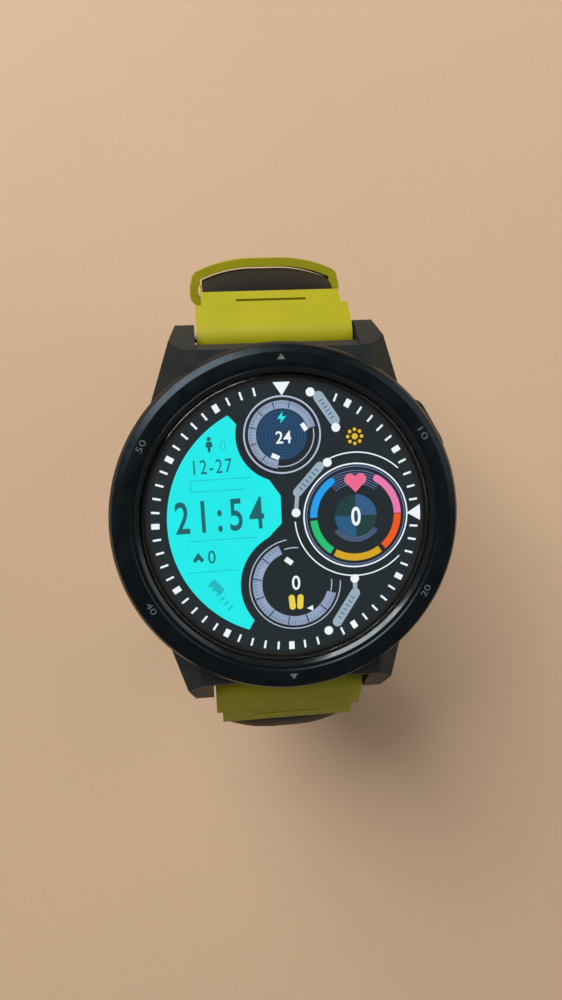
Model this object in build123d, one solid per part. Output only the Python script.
from build123d import *
import math
import os

# A round sports smartwatch standing on its own strap, dial up. Millimetres, +Z up.
# +Y points to 12 o'clock and +X to 3 o'clock. The origin is on the surface it stands on,
# under the centre of the dial.

# ---- Driving dimensions: whole watch
TOTAL_HEIGHT = 63.0
CASE_THICKNESS = 11.0
LOOP_REACH_12 = 37.4
LOOP_REACH_6 = 38.75

# ---- Bezel, glass and screen
BEZEL_R = 23.8
BEZEL_BORE_R = 19.6
BEZEL_LIP_R = 18.9
BEZEL_HEIGHT = 2.8
BEZEL_SIDE_DROP = 1.3
BEZEL_SHOULDER = (0.5, 0.4)
BEZEL_SLOPE_IN = 1.4
BEZEL_BORE_CHAMFER = (0.5, 0.4)
GLASS_R = 19.5
GLASS_RECESS = 0.3
GLASS_THICKNESS = 1.3
GLASS_CHAMFER = 0.25
GASKET_THICKNESS = 0.4
PANEL_R = 18.6
PANEL_THICKNESS = 1.0

# ---- Case band, lugs and back
CASE_R = 23.3
CAVITY_R = 21.0
BACK_R = 21.8
BACK_THICKNESS = 1.2
FLANGE_R = 18.4
FLANGE_THICKNESS = 0.9
LUG_GAP = 22.3
LUG_REACH = 26.9
LUG_ROOT_Y = 12.0
LUG_ROOT_X = 19.3
LUG_TIP_X = 13.8
LUG_HOLE_R = 0.5
LUG_HOLE_DEPTH = 1.3
LUG_SHOULDER_IN = 0.6
LUG_SHOULDER = (0.6, 3.2)
LUG_TIP_TOP = 1.4
LUG_TIP_LOW = -2.0
LUG_TOE = (1.0, 0.8)
LUG_HEEL = (1.5, 0.2)
LUG_FACET_IN = 1.0
HOOD_Y = 23.9
HOOD_THICKNESS = 3.2
HOOD_SLOPE = (0.7, 1.6)
CASE_CHAMFER = 0.6
BACK_CHAMFER = 0.3
BACK_GAP = 0.05

# ---- Spring bars
BAR_Y = 25.0
BAR_DROP = 9.1
TUBE_R = 0.9
TUBE_BORE_R = 0.5
TUBE_HALF_LENGTH = 10.9
PIN_R = 0.45
PIN_REACH = 0.9
PIN_INNER_X = 4.7
RELEASE_TRAVEL = 1.3
KNOB_X = 7.6
KNOB_R = 0.5
KNOB_REACH = 4.0
SLOT_GAP = 0.15
BORE_GAP = 0.05

# ---- Strap halves
LEAVE_DEG_12 = 42.0
LEAVE_DEG_6 = 42.0
TURN_DEG = 75.0
BEND_R = 12.0
KNUCKLE_R = 2.6
KNUCKLE_GAP = 0.3
BLOCK_WIDTH = 21.7
BASE_WIDTH = 20.0
BASE_THICKNESS = 1.5
BASE_EDGE_R = 0.3
COVER_WIDTH = 19.4
COVER_EDGE = 0.8
COVER_CROWN = 2.4
COVER_FLAT = 4.0
BLOCK_STEP_SHARE = 0.55
BLOCK_STEP = 0.35
BLOCK_SLIT = (10.0, 0.5, 0.7)
BLOCK_SLIT_FROM_END = 2.0
HEEL_Y = 22.2
HEEL_HEIGHT = 1.1
HEEL_DROP = 0.1
TAIL_END_Y = 4.4
TAIL_CORNER_R = 8.0
HOLE_COUNT = 7
HOLE_STEP = 6.5
HOLE_FIRST = 12.0
HOLE_LENGTH = 3.4
HOLE_WIDTH = 2.2

# ---- Buckle and keepers
BUCKLE_DEG = 146.0
END_BLOCK_LENGTH = 3.0
END_KNUCKLE_R = 2.1
BUCKLE_LENGTH = 13.5
BUCKLE_OUTER = 24.6
BUCKLE_INNER = 20.8
BUCKLE_BAR = 1.1
BUCKLE_EAR = 1.6
BUCKLE_EAR_R = 1.4
BUCKLE_CORNER_R = 4.0
BUCKLE_PIN_R = 0.75
BUCKLE_CHAMFER = 0.3
TANG_WIDTH = 2.2
TANG_RING_R = 1.5
TANG_BORE_R = 0.83
TANG_UNDER = 0.25
TANG_TOP = 1.05
TANG_NOTCH = (2.6, 1.0)
TANG_PAST_BAR = 0.8
TANG_SLOT = (3.0, 5.0)
FLOOR_GAP = 0.1
KEEPER_WIDTH = 5.0
KEEPER_WALL = 1.3
KEEPER_GAP = 0.3
FIXED_KEEPER_GAP = 0.02
FREE_KEEPER_DEG = 80.0
FIXED_KEEPER_DEG = 130.0

# ---- Buttons
BUTTON_ANGLE = 29.0
BUTTON_DROP = 6.8
BUTTON_TIP_R = 25.0
BUTTON_SIZE = (8.0, 3.4)
BUTTON_INNER_R = 22.85
BUTTON_CHAMFER = 0.35
POCKET_FLOOR_R = 22.3
POCKET_GAP = 0.2
STEM_R = 1.0
STEM_END_R = 20.2
STEM_GAP = 0.05
STEM_IN_CAP = 0.2
SEAL_R = 1.8
SEAL_SPAN = (21.0, 21.6)
CLIP_R = 1.7
CLIP_SPAN = (20.45, 20.85)
SWITCH_SPAN = (17.2, 19.6)
SWITCH_SIZE = (3.5, 2.6)

# ---- Inside the case
FRAME_R = 20.2
FRAME_OPENING_R = 10.0
FRAME_THICKNESS = 0.8
FRAME_DROP = 0.1
BOARD_R = 20.2
BOARD_THICKNESS = 0.8
BOARD_GAP = 0.3
RIBBON_WIDTH = 7.0
RIBBON_Y = -17.3
RIBBON_THICKNESS = 0.2
NOTCH_MARGIN = 0.7
BATTERY_SIZE = (22.0, 22.0, 3.7)
BATTERY_X = -6.0
BATTERY_CORNER_R = 3.0
BATTERY_LIFT = 0.1
MOTOR_R = 4.0
MOTOR_HEIGHT = 3.0
MOTOR_XY = (10.5, -7.5)
MOTOR_LIFT = 0.5
SPEAKER_SIZE = (7.2, 11.0, 3.0)
SPEAKER_XY = (9.6, 6.5)
SPEAKER_LIFT = 0.7
MICROPHONE_SIZE = (3.5, 2.8, 1.1)
MICROPHONE_XY = (-12.5, 12.5)
CHIPS = ((-4.0, 15.0, 9.0, 5.0), (6.0, 15.3, 5.0, 4.0), (-4.0, -15.0, 8.0, 4.6), (5.5, -15.3, 5.0, 4.0))
CHIP_HEIGHT = 1.0
ANTENNA_R = (20.85, 20.45)
ANTENNA_HEIGHT = 2.2
ANTENNA_DROP = 0.4
ANTENNA_END_X = -5.0
SCREW_RING_R = 20.6
SCREW_R = 0.6
SCREW_HEAD_R = 0.95
SCREW_HEAD_HEIGHT = 0.5
SCREW_LENGTH = 3.6
SCREW_GAP = 0.02
SCREW_HOLE_SPARE = 0.3
BOSS_R = 1.6
BOSS_HEIGHT = 3.6
BACK_GASKET = (19.5, 19.0, 0.5)
WINDOW_R = 9.2
WINDOW_THICKNESS = 1.2
WINDOW_RISE = 0.4
WINDOW_CHAMFER = 0.3
SENSOR_BOARD_R = 8.6
SENSOR_BOARD_THICKNESS = 0.6
LED_SIZE = (1.6, 0.5)
LED_RING_R = 4.0
CONTACT_R = 0.9
CONTACT_XY = (2.6, -13.2)
CONTACT_RISE = 0.1
CONTACT_LENGTH = 2.0
PORT_R = 0.4
PORT_RISE = 2.2
PORT_DEGREES = (-4, 0, 4, 135)

# ---- Heights worked out from the above
BEZEL_LOW = TOTAL_HEIGHT - BEZEL_HEIGHT
GLASS_TOP = TOTAL_HEIGHT - GLASS_RECESS
GLASS_LOW = GLASS_TOP - GLASS_THICKNESS
PANEL_LOW = GLASS_LOW - PANEL_THICKNESS
LIP_TOP = GLASS_LOW - GASKET_THICKNESS
BACK_LOW = TOTAL_HEIGHT - CASE_THICKNESS
BACK_TOP = BACK_LOW + BACK_THICKNESS
FLANGE_TOP = BACK_TOP + FLANGE_THICKNESS
FRAME_LOW = BEZEL_LOW - FRAME_THICKNESS - FRAME_DROP
BOARD_TOP = FRAME_LOW - BOARD_GAP
BOARD_LOW = BOARD_TOP - BOARD_THICKNESS
BAR_Z = TOTAL_HEIGHT - BAR_DROP
BUTTON_Z = TOTAL_HEIGHT - BUTTON_DROP
LINE_BOTTOM = COVER_CROWN
PIN_TIP_X = LUG_GAP / 2 + PIN_REACH

MIDDLE = Align.CENTER
LOW = Align.MIN
THROUGH = 100.0
SPARE = 1.0


# ---- Simple shapes
def disc(radius, z_low, z_high, x=0.0, y=0.0):
    """Upright cylinder between two heights."""
    return Pos(x, y, z_low) * Cylinder(radius, z_high - z_low, align=(MIDDLE, MIDDLE, LOW))


def ring(outer, inner, z_low, z_high):
    """Flat ring about the dial's axis."""
    return disc(outer, z_low, z_high) - disc(inner, z_low, z_high)


def block(x_span, y_span, z_span):
    """Box between two limits on each axis."""
    lows = [span[0] for span in (x_span, y_span, z_span)]
    sizes = [span[1] - span[0] for span in (x_span, y_span, z_span)]
    return Pos(*lows) * Box(*sizes, align=(LOW, LOW, LOW))


def block_at(xy, size, z_low):
    """Box centred over a point, standing on a height."""
    return Pos(xy[0], xy[1], z_low) * Box(*size, align=(MIDDLE, MIDDLE, LOW))


def cross_rod(radius, x_low, x_high, y, z):
    """Round rod lying along X."""
    plane = Plane(origin=(x_low, y, z), z_dir=(1, 0, 0))
    return plane * Cylinder(radius, x_high - x_low, align=(MIDDLE, MIDDLE, LOW))


def side_prism(points, half_width):
    """Prism across the strap with a side outline of (y, z) points."""
    face = Plane.YZ * make_face(Polyline(*points, close=True))
    return Pos(-half_width, 0, 0) * extrude(face, 2 * half_width)


def to_six(shape):
    """The same shape on the 6 o'clock side."""
    return mirror(shape, about=Plane.XZ)


# ---- The line between a strap half's two layers
class StrapLine:
    """Side view of one strap half, drawn on the 12 o'clock side.

    Headings are degrees below straight out. The line leaves the spring bar straight, bends
    quickly to TURN_DEG, then follows one large arc that ends level under the wrist.
    """

    def __init__(self, leave_deg, loop_reach):
        self.leave = leave_deg
        reach = loop_reach - COVER_CROWN
        a = math.radians(leave_deg)
        b = math.radians(TURN_DEG)
        across = reach - BAR_Y - BEND_R * (math.sin(b) - math.sin(a))
        down = BAR_Z - LINE_BOTTOM - BEND_R * (math.cos(a) - math.cos(b))
        out_left = 1 - math.sin(b)
        down_left = 1 + math.cos(b)
        scale = math.cos(a) * down_left - math.sin(a) * out_left
        self.straight = (across * down_left - down * out_left) / scale
        self.arc_r = (down * math.cos(a) - across * math.sin(a)) / scale
        self.centre = (reach - self.arc_r, LINE_BOTTOM + self.arc_r)
        self.along = (math.cos(a), -math.sin(a))
        self.out = (math.sin(a), math.cos(a))

    def on_straight(self, distance, outward=0.0):
        """Point on the straight, moved outward from the line."""
        y = BAR_Y + distance * self.along[0] + outward * self.out[0]
        z = BAR_Z + distance * self.along[1] + outward * self.out[1]
        return (y, z)

    def on_arc(self, heading, outward=0.0):
        """Point on the large arc, moved outward from the line."""
        radius = self.arc_r + outward
        angle = math.radians(heading)
        return (self.centre[0] + radius * math.sin(angle), self.centre[1] + radius * math.cos(angle))

    def start_plane(self, distance):
        """Plane across the straight: X across the strap, Y outward."""
        y, z = self.on_straight(distance)
        return Plane(origin=(0, y, z), x_dir=(-1, 0, 0), z_dir=(0, *self.along))

    def path(self, end_heading, flat_to=None):
        """Line from the end of the straight to a heading, or on to a place on the level part."""
        start = self.on_straight(self.straight)
        bend = JernArc(start, self.along, BEND_R, self.leave - TURN_DEG)
        arc = JernArc(bend @ 1, bend % 1, self.arc_r, TURN_DEG - end_heading)
        line = bend + arc
        if flat_to is not None:
            line += Line(arc @ 1, (flat_to, LINE_BOTTOM))
        return Plane.YZ * line


LINE_12 = StrapLine(LEAVE_DEG_12, LOOP_REACH_12)
LINE_6 = StrapLine(LEAVE_DEG_6, LOOP_REACH_6)


def plane_at(y, z, heading):
    """Plane with X across the strap, Y along the heading and Z outward."""
    angle = math.radians(heading)
    return Plane(origin=(0, y, z), x_dir=(1, 0, 0), z_dir=(0, math.sin(angle), math.cos(angle)))


# ---- Strap cross-sections: X across, Y outward from the line between the layers
def base_section():
    """Inner layer: a thin bar with softened edges."""
    return Pos(0, -BASE_THICKNESS / 2) * RectangleRounded(BASE_WIDTH, BASE_THICKNESS, BASE_EDGE_R)


def cover_section():
    """Outer layer: a flat crown falling in an arc to each thin edge."""
    half = COVER_WIDTH / 2
    flat = COVER_FLAT / 2
    crown = Line((-flat, COVER_CROWN), (flat, COVER_CROWN))
    right = TangentArc((flat, COVER_CROWN), (half, COVER_EDGE), tangent=(1, 0))
    left = TangentArc((-flat, COVER_CROWN), (-half, COVER_EDGE), tangent=(-1, 0))
    sides = Polyline((half, COVER_EDGE), (half, 0), (-half, 0), (-half, COVER_EDGE))
    return make_face(crown + right + sides + left)


def keeper_section(gap):
    """Loop round the whole strap section, with a gap all round."""
    filled = base_section() + cover_section() + Rectangle(COVER_WIDTH, COVER_EDGE)
    inside = offset(filled, gap)
    return offset(filled, gap + KEEPER_WALL) - inside


def layer(line, section, end_heading, flat_to=None):
    """A strap layer swept along its line."""
    start = line.start_plane(line.straight)
    return sweep(start * section, path=line.path(end_heading, flat_to))


def keeper(line, heading, gap):
    """Loop of KEEPER_WIDTH round the strap, curved with the large arc."""
    span = math.degrees(KEEPER_WIDTH / line.arc_r)
    y, z = line.on_arc(heading - span / 2)
    angle = math.radians(heading - span / 2)
    start = Plane(origin=(0, y, z), x_dir=(-1, 0, 0), z_dir=(0, math.cos(angle), -math.sin(angle)))
    centre = Axis((0, line.centre[0], line.centre[1]), (-1, 0, 0))
    return revolve(start * keeper_section(gap), centre, span)


# ---- Strap ends
def lug_block(line):
    """Lug end of a strap half: a knuckle on the spring bar, a stepped block and a heel."""
    half = BLOCK_WIDTH / 2
    far = line.straight
    outline = [line.on_straight(0, KNUCKLE_R), line.on_straight(far, COVER_CROWN)]
    outline += [line.on_straight(far, -BASE_THICKNESS), line.on_straight(0, -KNUCKLE_R)]
    step = far * BLOCK_STEP_SHARE
    shoulder = [line.on_straight(0, KNUCKLE_R), line.on_straight(step, COVER_CROWN + BLOCK_STEP)]
    shoulder += [line.on_straight(step, -BASE_THICKNESS), line.on_straight(0, -KNUCKLE_R)]
    knuckle = cross_rod(KNUCKLE_R, -half, half, BAR_Y, BAR_Z)
    heel_low = BACK_LOW - HEEL_DROP
    heel = block((-half, half), (HEEL_Y, BAR_Y), (heel_low, heel_low + HEEL_HEIGHT))
    solid = side_prism(outline, BASE_WIDTH / 2) + side_prism(shoulder, half) + knuckle + heel
    solid -= cross_rod(TUBE_R + BORE_GAP, -THROUGH, THROUGH, BAR_Y, BAR_Z)
    solid -= knob_slot(line)
    return solid - block_slit(line)


def knob_slot(line):
    """Slot through the inner side of the block for the release knob and its travel."""
    reach = KNOB_X - RELEASE_TRAVEL - KNOB_R - SLOT_GAP
    length = RELEASE_TRAVEL + 2 * (KNOB_R + SLOT_GAP)
    width = 2 * (KNOB_R + SLOT_GAP)
    centre_x = reach + length / 2
    tool = Pos(centre_x, 0, 0) * Box(length, width, KNOB_REACH + SPARE, align=(MIDDLE, MIDDLE, Align.MAX))
    return plane_at(BAR_Y, BAR_Z, line.leave) * tool


def block_slit(line):
    """Shallow slit across the outer face of the block."""
    y, z = line.on_straight(line.straight - BLOCK_SLIT_FROM_END, COVER_CROWN)
    return plane_at(y, z, line.leave) * Box(BLOCK_SLIT[0], BLOCK_SLIT[1], 2 * BLOCK_SLIT[2])


def end_block():
    """Buckle end of the short half: a block and a knuckle round the buckle bar."""
    half = BASE_WIDTH / 2
    back = cover_end_deg()
    y, z = LINE_12.on_arc(BUCKLE_DEG)
    outline = [LINE_12.on_arc(back, COVER_CROWN), LINE_12.on_arc(BUCKLE_DEG, END_KNUCKLE_R)]
    outline += [LINE_12.on_arc(BUCKLE_DEG, -END_KNUCKLE_R), LINE_12.on_arc(back, -BASE_THICKNESS)]
    solid = side_prism(outline, half) + cross_rod(END_KNUCKLE_R, -half, half, y, z)
    return solid - cross_rod(BUCKLE_PIN_R + BORE_GAP, -THROUGH, THROUGH, y, z)


def cover_end_deg():
    """Heading at which the outer layer gives way to the buckle end block."""
    return BUCKLE_DEG - math.degrees(END_BLOCK_LENGTH / LINE_12.arc_r)


def tang_slot():
    """Notch in the buckle end for the tang's ring and root."""
    y, z = LINE_12.on_arc(BUCKLE_DEG)
    past = END_KNUCKLE_R + SPARE
    tool = Box(TANG_SLOT[0], TANG_SLOT[1] + past, 4 * END_KNUCKLE_R)
    return plane_at(y, z, BUCKLE_DEG) * (Pos(0, (past - TANG_SLOT[1]) / 2, 0) * tool)


# ---- Strap half at 12 o'clock: the short one, with the buckle
def strap_12_base():
    """Lug block, inner layer and buckle end in one moulding."""
    solid = lug_block(LINE_12) + layer(LINE_12, base_section(), cover_end_deg()) + end_block()
    return solid - tang_slot()


def strap_12_cover():
    """Outer layer between the lug block and the buckle end."""
    return layer(LINE_12, cover_section(), cover_end_deg()) - tang_slot()


# ---- Strap half at 6 o'clock: the long one, with the holes
def tail_trim():
    """What is cut away to round the two corners of the tail."""
    end = -TAIL_END_Y
    top = 2 * COVER_CROWN + BASE_THICKNESS
    wide = block((-THROUGH, THROUGH), (end, end + TAIL_CORNER_R), (-SPARE, top))
    inset = BASE_WIDTH / 2 - TAIL_CORNER_R
    tall = (-2 * SPARE, THROUGH)
    kept = block((-inset, inset), (end - SPARE, end + TAIL_CORNER_R + SPARE), tall)
    for x in (-inset, inset):
        kept += disc(TAIL_CORNER_R, *tall, x, end + TAIL_CORNER_R)
    return wide - kept


def hole_plane(distance):
    """Plane of the strap at a distance back from the tail's tip, along the line."""
    level = LINE_6.centre[0] + TAIL_END_Y
    if distance <= level:
        return plane_at(-TAIL_END_Y + distance, LINE_BOTTOM, 180.0)
    heading = 180.0 - math.degrees((distance - level) / LINE_6.arc_r)
    return plane_at(*LINE_6.on_arc(heading), heading)


def adjustment_holes():
    """Row of short slots along the middle of the tail."""
    slot = extrude(SlotOverall(HOLE_LENGTH, HOLE_WIDTH), 2 * COVER_CROWN, both=True)
    tools = [hole_plane(HOLE_FIRST + i * HOLE_STEP) * slot for i in range(HOLE_COUNT)]
    return Part() + tools


def long_layer(section):
    """One layer of the long half, with its rounded tail and its holes."""
    return layer(LINE_6, section, 180.0, -TAIL_END_Y) - tail_trim() - adjustment_holes()


def strap_6_base():
    """Lug block and inner layer of the long half."""
    return to_six(lug_block(LINE_6) + long_layer(base_section()))


def strap_6_cover():
    """Outer layer of the long half."""
    return to_six(long_layer(cover_section()))


# ---- Spring bars
def spring_bar(line):
    """Tube in the strap with its fixed pin, bored and slotted for the release pin."""
    solid = cross_rod(TUBE_R, -TUBE_HALF_LENGTH, TUBE_HALF_LENGTH, BAR_Y, BAR_Z)
    solid += cross_rod(PIN_R, -PIN_TIP_X, -TUBE_HALF_LENGTH, BAR_Y, BAR_Z)
    bore_from = PIN_INNER_X - RELEASE_TRAVEL - KNOB_R
    solid -= cross_rod(TUBE_BORE_R, bore_from, THROUGH, BAR_Y, BAR_Z)
    return solid - knob_slot(line)


def release_pin(line):
    """Sliding pin with the knob that pulls it out of its lug."""
    pin = cross_rod(PIN_R, PIN_INNER_X, PIN_TIP_X, BAR_Y, BAR_Z)
    knob = Pos(KNOB_X, 0, 0) * Cylinder(KNOB_R, KNOB_REACH, align=(MIDDLE, MIDDLE, Align.MAX))
    return pin + plane_at(BAR_Y, BAR_Z, line.leave) * knob


# ---- Buckle
def buckle_plane():
    """Plane of the buckle frame: Y towards its crossbar, Z to its outer side.

    The frame hangs from its bar until the crossbar almost touches the surface below.
    """
    y, z = LINE_12.on_arc(BUCKLE_DEG)
    reach = BUCKLE_LENGTH + BUCKLE_BAR
    half = BUCKLE_BAR
    dip = math.asin((z - FLOOR_GAP) / math.hypot(reach, half)) - math.atan2(half, reach)
    return plane_at(y, z, 180.0 - math.degrees(dip))


def buckle_frame():
    """Flat U with a crossbar, its ears on the buckle bar and a notch for the tang's tip."""
    length = BUCKLE_LENGTH + BUCKLE_BAR + BUCKLE_EAR
    centre = length / 2 - BUCKLE_EAR
    outline = Pos(0, centre) * Rectangle(BUCKLE_OUTER, length)
    outline = fillet(outline.vertices().sort_by(Axis.Y)[-2:], BUCKLE_CORNER_R)
    outline = fillet(outline.vertices().sort_by(Axis.Y)[:2], BUCKLE_EAR_R)
    far = BUCKLE_LENGTH - BUCKLE_BAR
    opening = far + BUCKLE_EAR + SPARE
    outline -= Pos(0, far - opening / 2) * Rectangle(BUCKLE_INNER, opening)
    solid = extrude(outline, BUCKLE_BAR, both=True)
    solid = chamfer(solid.edges().group_by(Axis.Z)[-1], BUCKLE_CHAMFER)
    notch = Box(TANG_NOTCH[0], 4 * BUCKLE_BAR, 2 * TANG_NOTCH[1])
    solid -= Pos(0, BUCKLE_LENGTH, BUCKLE_BAR) * notch
    solid -= Rotation(0, 90, 0) * Cylinder(BUCKLE_PIN_R, THROUGH)
    return buckle_plane() * solid


def buckle_bar():
    """Pin through the frame's ears and the strap's end."""
    return buckle_plane() * (Rotation(0, 90, 0) * Cylinder(BUCKLE_PIN_R, BUCKLE_OUTER))


def buckle_tang():
    """Prong with a ring on the buckle bar, its tip in the crossbar's notch."""
    half = TANG_WIDTH / 2
    prong = block((-half, half), (0, BUCKLE_LENGTH + TANG_PAST_BAR), (TANG_UNDER, TANG_TOP))
    solid = prong + Rotation(0, 90, 0) * Cylinder(TANG_RING_R, TANG_WIDTH)
    solid -= Rotation(0, 90, 0) * Cylinder(TANG_BORE_R, THROUGH)
    return buckle_plane() * solid


# ---- Bezel, glass and screen
def bezel_ring():
    """Metal ring with a sloping rim outside and a lip under the glass inside."""
    top = TOTAL_HEIGHT
    outline = [(BEZEL_LIP_R, BEZEL_LOW), (BEZEL_R, BEZEL_LOW), (BEZEL_R, top - BEZEL_SIDE_DROP)]
    outline += [(BEZEL_R - BEZEL_SHOULDER[0], top - BEZEL_SHOULDER[1]), (BEZEL_R - BEZEL_SLOPE_IN, top)]
    outline += [(BEZEL_BORE_R + BEZEL_BORE_CHAMFER[0], top), (BEZEL_BORE_R, top - BEZEL_BORE_CHAMFER[1])]
    outline += [(BEZEL_BORE_R, LIP_TOP), (BEZEL_LIP_R, LIP_TOP)]
    return revolve(Plane.XZ * make_face(Polyline(*outline, close=True)), Axis.Z)


def cover_glass():
    """Flat round glass with a small chamfer on its upper edge."""
    glass = disc(GLASS_R, GLASS_LOW, GLASS_TOP)
    return chamfer(glass.edges().sort_by(Axis.Z)[-1], GLASS_CHAMFER)


# ---- Case
def lug():
    """Lug on the +X, +Y corner: straight inside, tapering outside, sloping down to its tip."""
    gap = LUG_GAP / 2
    plan = [(gap, LUG_ROOT_Y), (LUG_ROOT_X, LUG_ROOT_Y), (LUG_TIP_X, LUG_REACH), (gap, LUG_REACH)]
    column = extrude(make_face(Polyline(*plan, close=True)), CASE_THICKNESS + SPARE)
    prism = Pos(0, 0, BACK_LOW - SPARE) * column
    tip_low = BAR_Z + LUG_TIP_LOW
    side = [(LUG_ROOT_Y, BEZEL_LOW), (BEZEL_R - LUG_SHOULDER_IN, BEZEL_LOW)]
    side += [(BAR_Y + LUG_SHOULDER[0], BAR_Z + LUG_SHOULDER[1]), (LUG_REACH, BAR_Z + LUG_TIP_TOP)]
    side += [(LUG_REACH, tip_low + LUG_TOE[1]), (LUG_REACH - LUG_TOE[0], tip_low)]
    side += [(BEZEL_R - LUG_HEEL[0], BACK_LOW + LUG_HEEL[1]), (LUG_ROOT_Y, BACK_TOP)]
    wide = LUG_ROOT_X + SPARE
    shape = prism & side_prism(side, wide)
    inner = gap - SPARE
    top = [(inner, BEZEL_LOW), (LUG_TIP_X - LUG_FACET_IN, BEZEL_LOW), (wide, BAR_Z), (wide, 0), (inner, 0)]
    facet = Pos(0, THROUGH, 0) * extrude(Plane.XZ * make_face(Polyline(*top, close=True)), 2 * THROUGH)
    return shape & facet


def four(shape):
    """The shape on all four corners."""
    pair = shape + mirror(shape, about=Plane.YZ)
    return pair + to_six(pair)


def hood():
    """Bridge between a pair of lugs, over the strap's knuckle."""
    low = BEZEL_LOW - HOOD_THICKNESS
    side = [(FLANGE_R, BEZEL_LOW), (BEZEL_R - HOOD_SLOPE[0], BEZEL_LOW), (HOOD_Y, BEZEL_LOW - HOOD_SLOPE[1])]
    side += [(HOOD_Y, low), (FLANGE_R, low)]
    return side_prism(side, LUG_GAP / 2)


def screw_places():
    """Axes of the four back screws."""
    step = SCREW_RING_R * math.sqrt(0.5)
    return [(sx * step, sy * step) for sx in (-1, 1) for sy in (-1, 1)]


def case_shell():
    """Case band with lugs and hoods, hollowed for the works."""
    band = disc(CASE_R, BACK_TOP, BEZEL_LOW)
    band = chamfer(band.edges().sort_by(Axis.Z)[0], CASE_CHAMFER)
    shell = band + four(lug()) + hood() + to_six(hood())
    shell -= disc(CAVITY_R, FLANGE_TOP, THROUGH)
    shell -= disc(FLANGE_R, 0, THROUGH)
    shell -= disc(BACK_R + BACK_GAP, 0, BACK_TOP)
    shell += Part() + [disc(BOSS_R, BACK_TOP, BACK_TOP + BOSS_HEIGHT, *xy) for xy in screw_places()]
    return shell


def mid_case():
    """The shell with every hole cut in it."""
    case = case_shell()
    case -= ring(BACK_GASKET[0], BACK_GASKET[1], BACK_TOP, BACK_TOP + BACK_GASKET[2])
    for xy in screw_places():
        case -= disc(SCREW_R + SCREW_GAP, 0, BACK_LOW + SCREW_LENGTH + SCREW_HOLE_SPARE, *xy)
    for side in (1, -1):
        y = side * BAR_Y
        case -= cross_rod(KNUCKLE_R + KNUCKLE_GAP, -LUG_GAP / 2, LUG_GAP / 2, y, BAR_Z)
        hole = LUG_GAP / 2 + LUG_HOLE_DEPTH
        case -= cross_rod(LUG_HOLE_R, -hole, hole, y, BAR_Z)
        case -= button_room(side)
    return case - ports()


def ports():
    """Three speaker holes between the buttons and one microphone hole."""
    tool = Pos(CAVITY_R, 0, 0) * (Rotation(0, 90, 0) * Cylinder(PORT_R, 6 * SPARE))
    holes = [Rotation(0, 0, angle) * tool for angle in PORT_DEGREES]
    return Pos(0, 0, BUTTON_Z + PORT_RISE) * (Part() + holes)


# ---- Buttons: drawn along +X, then turned to their place
def place_button(shape, side):
    """Turn a shape drawn along +X to the upper (+1) or lower (-1) button."""
    return Pos(0, 0, BUTTON_Z) * (Rotation(0, 0, side * BUTTON_ANGLE) * shape)


def radial_rod(radius, near, far):
    """Round rod along +X between two distances from the dial's axis."""
    turned = Rotation(0, 90, 0) * Cylinder(radius, far - near)
    return Pos((near + far) / 2, 0, 0) * turned


def radial_pill(size, near, far):
    """Rounded bar section along +X between two distances from the dial's axis."""
    face = Plane.YZ * SlotOverall(size[0], size[1])
    return Pos(near, 0, 0) * extrude(face, far - near)


def button_room(side):
    """Pocket for the cap, hole for the stem and seat for the seal."""
    pocket_size = [value + 2 * POCKET_GAP for value in BUTTON_SIZE]
    room = radial_pill(pocket_size, POCKET_FLOOR_R, BUTTON_TIP_R)
    room += radial_rod(STEM_R + STEM_GAP, CAVITY_R - 2 * SPARE, BUTTON_TIP_R)
    room += radial_rod(SEAL_R, CAVITY_R - 2 * SPARE, SEAL_SPAN[1])
    return place_button(room, side)


def button(side):
    """Cap and stem in one piece."""
    cap = radial_pill(BUTTON_SIZE, BUTTON_INNER_R, BUTTON_TIP_R)
    cap = chamfer(cap.faces().sort_by(Axis.X)[-1].edges(), BUTTON_CHAMFER)
    return place_button(cap + radial_rod(STEM_R, STEM_END_R, BUTTON_INNER_R + STEM_IN_CAP), side)


def button_clip(side):
    """Retaining ring on the inner end of the stem."""
    clip = radial_rod(CLIP_R, *CLIP_SPAN) - radial_rod(STEM_R, CAVITY_R - 3 * SPARE, CAVITY_R + SPARE)
    return place_button(clip, side)


def button_seals():
    """One sealing ring round each stem."""
    bore = radial_rod(STEM_R + STEM_GAP, CAVITY_R - 2 * SPARE, CAVITY_R + 2 * SPARE)
    seal = radial_rod(SEAL_R, *SEAL_SPAN) - bore
    return [place_button(seal, side) for side in (1, -1)]


def button_switches():
    """One push switch behind each stem."""
    half_y, half_z = (size / 2 for size in SWITCH_SIZE)
    body = block(SWITCH_SPAN, (-half_y, half_y), (-half_z, half_z))
    return [place_button(body, side) for side in (1, -1)]


# ---- Works inside the case
def inner_frame():
    """Carrier plate under the screen with a notch for the ribbon."""
    plate = ring(FRAME_R, FRAME_OPENING_R, FRAME_LOW, FRAME_LOW + FRAME_THICKNESS)
    half = RIBBON_WIDTH / 2 + NOTCH_MARGIN
    return plate - block((-half, half), (-FRAME_R - SPARE, RIBBON_Y + SPARE), (FRAME_LOW - SPARE, BEZEL_LOW))


def display_ribbon():
    """Flat cable from the screen down to the board."""
    half = RIBBON_WIDTH / 2
    return block((-half, half), (RIBBON_Y, RIBBON_Y + RIBBON_THICKNESS), (BOARD_TOP, PANEL_LOW))


def board_chips():
    """Shield can and chips hanging under the board."""
    low = BOARD_LOW - CHIP_HEIGHT
    return [block_at((x, y), (width, depth, CHIP_HEIGHT), low) for x, y, width, depth in CHIPS]


def battery():
    """Flat pouch with rounded corners."""
    face = RectangleRounded(BATTERY_SIZE[0], BATTERY_SIZE[1], BATTERY_CORNER_R)
    return Pos(BATTERY_X, 0, FLANGE_TOP + BATTERY_LIFT) * extrude(face, BATTERY_SIZE[2])


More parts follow.
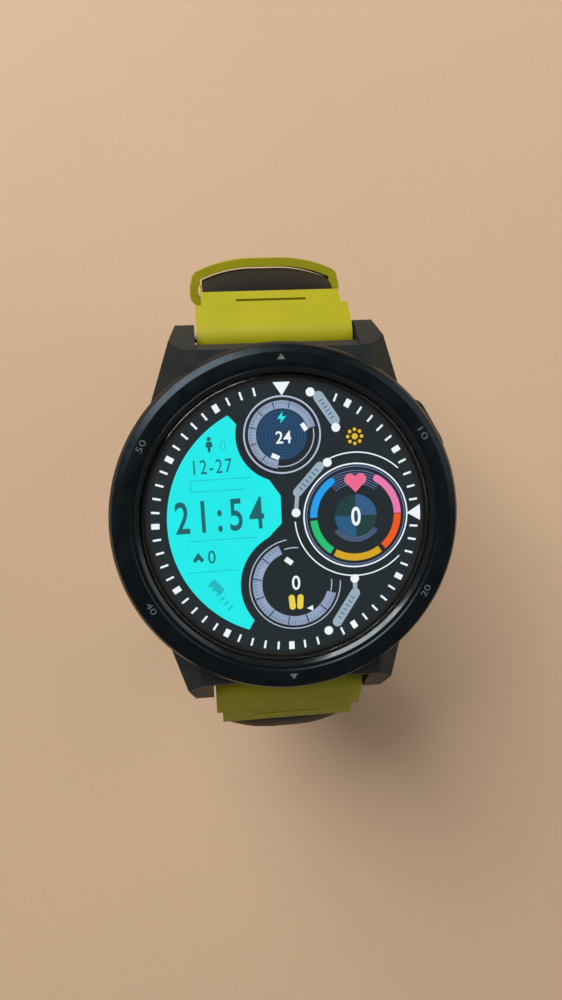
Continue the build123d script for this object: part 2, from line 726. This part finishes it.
def antenna():
    """Curved strip on the left wall of the case."""
    low = BEZEL_LOW - ANTENNA_HEIGHT - ANTENNA_DROP
    strip = ring(*ANTENNA_R, low, low + ANTENNA_HEIGHT)
    return strip - block((ANTENNA_END_X, THROUGH), (-THROUGH, THROUGH), (0, THROUGH))


def microphone():
    """Small can under the board by its port."""
    return block_at(MICROPHONE_XY, MICROPHONE_SIZE, BOARD_LOW - MICROPHONE_SIZE[2])


def haptic_motor():
    """Coin motor."""
    low = FLANGE_TOP + MOTOR_LIFT
    return disc(MOTOR_R, low, low + MOTOR_HEIGHT, *MOTOR_XY)


def speaker():
    """Flat speaker box."""
    return block_at(SPEAKER_XY, SPEAKER_SIZE, FLANGE_TOP + SPEAKER_LIFT)


# ---- Back
def contact_places():
    """Axes of the two charging contacts."""
    return [(side * CONTACT_XY[0], CONTACT_XY[1]) for side in (1, -1)]


def back_cover():
    """Round cover with the window's opening, contact holes and countersunk screw holes."""
    cover = disc(BACK_R, BACK_LOW, BACK_TOP)
    cover = chamfer(cover.edges().sort_by(Axis.Z)[0], BACK_CHAMFER)
    cover -= disc(WINDOW_R, 0, THROUGH)
    for xy in contact_places():
        cover -= disc(CONTACT_R, 0, THROUGH, *xy)
    for xy in screw_places():
        cover -= disc(SCREW_R + SCREW_GAP, 0, THROUGH, *xy)
        cover -= disc(SCREW_HEAD_R + SCREW_GAP, 0, BACK_LOW + SCREW_HEAD_HEIGHT, *xy)
    return cover


def case_screws():
    """Four screws: flat head and plain shank."""
    screws = []
    for xy in screw_places():
        head = disc(SCREW_HEAD_R, BACK_LOW, BACK_LOW + SCREW_HEAD_HEIGHT, *xy)
        screws.append(head + disc(SCREW_R, BACK_LOW, BACK_LOW + SCREW_LENGTH, *xy))
    return screws


def sensor_window():
    """Round window standing a little proud of the back."""
    low = BACK_LOW - WINDOW_RISE
    window = disc(WINDOW_R, low, low + WINDOW_THICKNESS)
    return chamfer(window.edges().sort_by(Axis.Z)[0], WINDOW_CHAMFER)


def sensor_leds():
    """Four lights and detectors between the window and the sensor board."""
    low = BACK_LOW - WINDOW_RISE + WINDOW_THICKNESS
    size = (LED_SIZE[0], LED_SIZE[0], LED_SIZE[1])
    places = [(LED_RING_R, 0), (-LED_RING_R, 0), (0, LED_RING_R), (0, -LED_RING_R)]
    return [block_at(xy, size, low) for xy in places]


def sensor_board():
    """Small round board behind the window."""
    low = BACK_LOW - WINDOW_RISE + WINDOW_THICKNESS + LED_SIZE[1]
    return disc(SENSOR_BOARD_R, low, low + SENSOR_BOARD_THICKNESS)


def charging_contacts():
    """Two round contacts through the back."""
    low = BACK_LOW - CONTACT_RISE
    return [disc(CONTACT_R, low, low + CONTACT_LENGTH, *xy) for xy in contact_places()]


# ---- Every sub-part by name
def sub_parts():
    """Each node's name with its solid or solids."""
    return {
        "mid_case": mid_case(),
        "bezel_ring": bezel_ring(),
        "cover_glass": cover_glass(),
        "glass_gasket": ring(GLASS_R, BEZEL_LIP_R, LIP_TOP, GLASS_LOW),
        "display_panel": disc(PANEL_R, PANEL_LOW, GLASS_LOW),
        "display_ribbon": display_ribbon(),
        "inner_frame": inner_frame(),
        "main_board": disc(BOARD_R, BOARD_LOW, BOARD_TOP),
        "board_chips": board_chips(),
        "battery": battery(),
        "haptic_motor": haptic_motor(),
        "speaker": speaker(),
        "microphone": microphone(),
        "antenna": antenna(),
        "back_cover": back_cover(),
        "back_gasket": ring(BACK_GASKET[0], BACK_GASKET[1], BACK_TOP, BACK_TOP + BACK_GASKET[2]),
        "sensor_window": sensor_window(),
        "sensor_leds": sensor_leds(),
        "sensor_board": sensor_board(),
        "charging_contacts": charging_contacts(),
        "case_screws": case_screws(),
        "button_seals": button_seals(),
        "button_switches": button_switches(),
        "button_upper": button(1),
        "button_upper_clip": button_clip(1),
        "button_lower": button(-1),
        "button_lower_clip": button_clip(-1),
        "strap_12_base": strap_12_base(),
        "strap_12_cover": strap_12_cover(),
        "spring_bar_12": spring_bar(LINE_12),
        "release_pin_12": release_pin(LINE_12),
        "keeper_fixed": keeper(LINE_12, FIXED_KEEPER_DEG, FIXED_KEEPER_GAP),
        "keeper_sliding": keeper(LINE_12, FREE_KEEPER_DEG, KEEPER_GAP),
        "buckle_frame": buckle_frame(),
        "buckle_bar": buckle_bar(),
        "buckle_tang": buckle_tang(),
        "strap_6_base": strap_6_base(),
        "strap_6_cover": strap_6_cover(),
        "spring_bar_6": to_six(spring_bar(LINE_6)),
        "release_pin_6": to_six(release_pin(LINE_6)),
    }


def write(name, shape):
    """Write one sub-part as parts/NODE.step."""
    solids = shape if isinstance(shape, list) else [shape]
    members = [solid for item in solids for solid in item.solids()]
    whole = members[0] if len(members) == 1 else Compound(children=members)
    export_step(whole, f"parts/{name}.step")


os.makedirs("parts", exist_ok=True)
for node, shape in sub_parts().items():
    write(node, shape)
